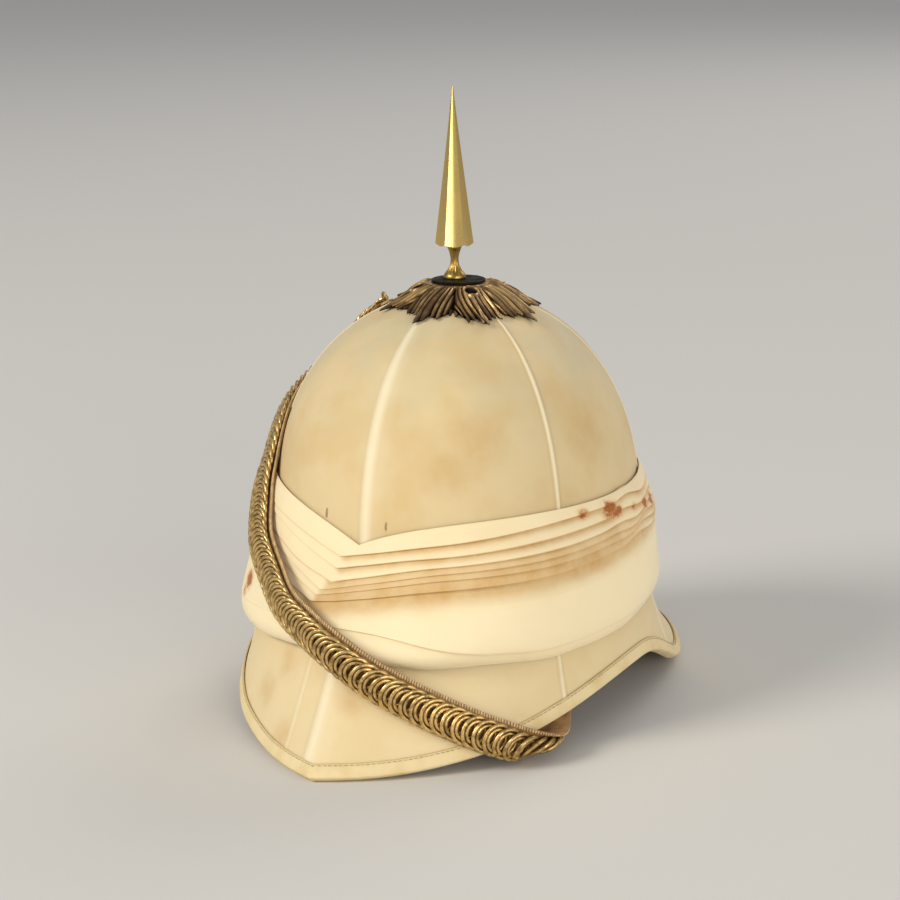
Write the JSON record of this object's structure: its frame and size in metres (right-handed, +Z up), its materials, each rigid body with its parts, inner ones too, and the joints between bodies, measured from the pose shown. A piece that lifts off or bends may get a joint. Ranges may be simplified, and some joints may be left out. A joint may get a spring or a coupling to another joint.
{
  "type": "pith helmet",
  "caption": "Officer's foreign-service pith helmet: cork crown and peaked brim, pleated cloth wrap, brass leaf base and spike, leather-backed brass chin chain worn up",
  "frame": {"origin": "On the surface that the helmet rests on, under the middle of its whole box. The crown's upright axis passes 8.9 mm in front of the origin.", "axes": "+Z up along the spike, -Y towards the front peak, +X towards the wearer's left, where the brim's side arches highest."},
  "size_m": [0.213, 0.3358, 0.3171],
  "materials": {
    "aged_cream_cloth": "cotton cloth over cork, aged cream to tan, slightly glazed",
    "pale_binding": "smooth pale edge binding with a line of stitches",
    "cream_muslin": "soft warm cream muslin with a few rust marks",
    "dark_leaf_brass": "stamped brass, tarnished dark brown with rubbed high spots",
    "bright_brass": "polished brass",
    "antique_brass": "antique brass wire, dark in the hollows",
    "brown_leather": "matt brown leather strap"
  },
  "bodies": {
    "root": {"helmet_shell": "aged_cream_cloth", "edge_binding": "pale_binding", "puggaree_wrap": "cream_muslin", "puggaree_folds": "cream_muslin", "leaf_base": "dark_leaf_brass", "top_disc": "dark_leaf_brass", "spike_foot": "bright_brass", "spike": "bright_brass", "chain_1": "antique_brass", "chain_2": "antique_brass", "chain_3": "antique_brass", "chain_4": "antique_brass", "chain_backing": "brown_leather", "crown_hook": "antique_brass", "crown_end_ring": "antique_brass", "brim_staple": "antique_brass", "brim_end_ring": "antique_brass"}
  },
  "joints": []
}
